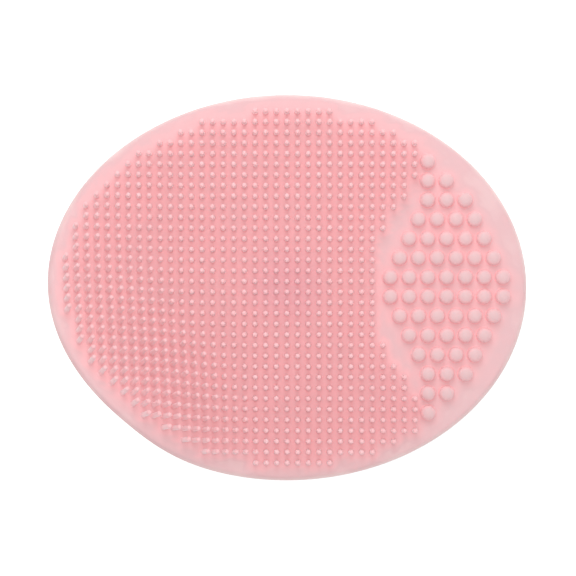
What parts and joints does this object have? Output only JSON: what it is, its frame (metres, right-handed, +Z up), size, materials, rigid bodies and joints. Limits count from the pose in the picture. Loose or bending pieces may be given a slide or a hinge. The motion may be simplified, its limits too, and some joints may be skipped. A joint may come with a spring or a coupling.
{
  "type": "facial cleansing pad",
  "caption": "Oval silicone facial cleansing pad with fine bristles, a patch of round massage nubs, one curled-up corner, and a suction-cup foot on a short flexible neck.",
  "frame": {"origin": "on the surface that the suction cup stands on, under the centre of the oval sheet's box", "axes": "+X towards the massage-nub end, along the oval's length; +Z up, the way the bristles point"},
  "size_m": [0.0919, 0.0745, 0.0271],
  "materials": {
    "silicone_body": "satin translucent silicone, soft pink",
    "silicone_bristle": "satin translucent silicone, soft pink, paler at the tips",
    "silicone_cup": "satin translucent silicone, soft pink"
  },
  "bodies": {
    "cup": {"suction_cup": "silicone_cup"},
    "neck_base": {"neck_root": "silicone_cup"},
    "neck": {"neck_waist": "silicone_cup"},
    "pad": {"massage_nub_row_01": "silicone_body", "massage_nub_row_02": "silicone_body", "massage_nub_row_03": "silicone_body", "massage_nub_row_04": "silicone_body", "massage_nub_row_05": "silicone_body", "massage_nub_row_06": "silicone_body", "massage_nub_row_07": "silicone_body", "massage_nub_row_08": "silicone_body", "massage_nub_row_09": "silicone_body", "massage_nub_row_10": "silicone_body", "massage_nub_row_11": "silicone_body", "massage_nub_row_12": "silicone_body", "massage_nub_row_13": "silicone_body", "massage_nub_row_14": "silicone_body", "pad_boss": "silicone_body", "pad_bristle_strip_01": "silicone_bristle", "pad_bristle_strip_02": "silicone_bristle", "pad_bristle_strip_03": "silicone_bristle", "pad_bristle_strip_04": "silicone_bristle", "pad_bristle_strip_05": "silicone_bristle", "pad_bristle_strip_06": "silicone_bristle", "pad_bristle_strip_07": "silicone_bristle", "pad_bristle_strip_08": "silicone_bristle", "pad_bristle_strip_09": "silicone_bristle", "pad_bristle_strip_10": "silicone_bristle", "pad_bristle_strip_11": "silicone_bristle", "pad_bristle_strip_12": "silicone_bristle", "pad_bristle_strip_13": "silicone_bristle", "pad_bristle_strip_14": "silicone_bristle", "pad_bristle_strip_15": "silicone_bristle", "pad_bristle_strip_16": "silicone_bristle", "pad_bristle_strip_17": "silicone_bristle", "pad_rim": "silicone_body", "pad_sheet": "silicone_body"},
    "corner": {"corner_bristle_strip_07": "silicone_bristle", "corner_bristle_strip_08": "silicone_bristle", "corner_bristle_strip_09": "silicone_bristle", "corner_bristle_strip_10": "silicone_bristle", "corner_bristle_strip_11": "silicone_bristle", "corner_bristle_strip_12": "silicone_bristle", "corner_bristle_strip_13": "silicone_bristle", "corner_bristle_strip_14": "silicone_bristle", "corner_bristle_strip_15": "silicone_bristle", "corner_bristle_strip_16": "silicone_bristle", "corner_bristle_strip_17": "silicone_bristle", "corner_rim": "silicone_body", "corner_sheet": "silicone_body"}
  },
  "joints": [
    {"name": "cup_press", "type": "slide", "parent": "cup", "child": "neck_base", "axis": [0, 0, -1], "range_m": [0, 0.0025], "stiffness_N_per_m": 2000, "deforming": ["suction_cup"]},
    {"name": "rock_x", "type": "hinge", "parent": "neck_base", "child": "neck", "pos_m": [0, 0, 0.0116], "axis": [1, 0, 0], "range_deg": [-10, 10], "stiffness_Nm_per_rad": 0.15, "deforming": ["neck_waist"]},
    {"name": "rock_y", "type": "hinge", "parent": "neck", "child": "pad", "pos_m": [0, 0, 0.0116], "axis": [0, 1, 0], "range_deg": [-10, 10], "stiffness_Nm_per_rad": 0.15, "deforming": ["neck_waist"]},
    {"name": "corner_curl", "type": "hinge", "parent": "pad", "child": "corner", "pos_m": [-0.02008, -0.0106, 0.01616], "axis": [-0.705, 0.7077, 0.0461], "range_deg": [-35, 12], "stiffness_Nm_per_rad": 0.02}
  ]
}
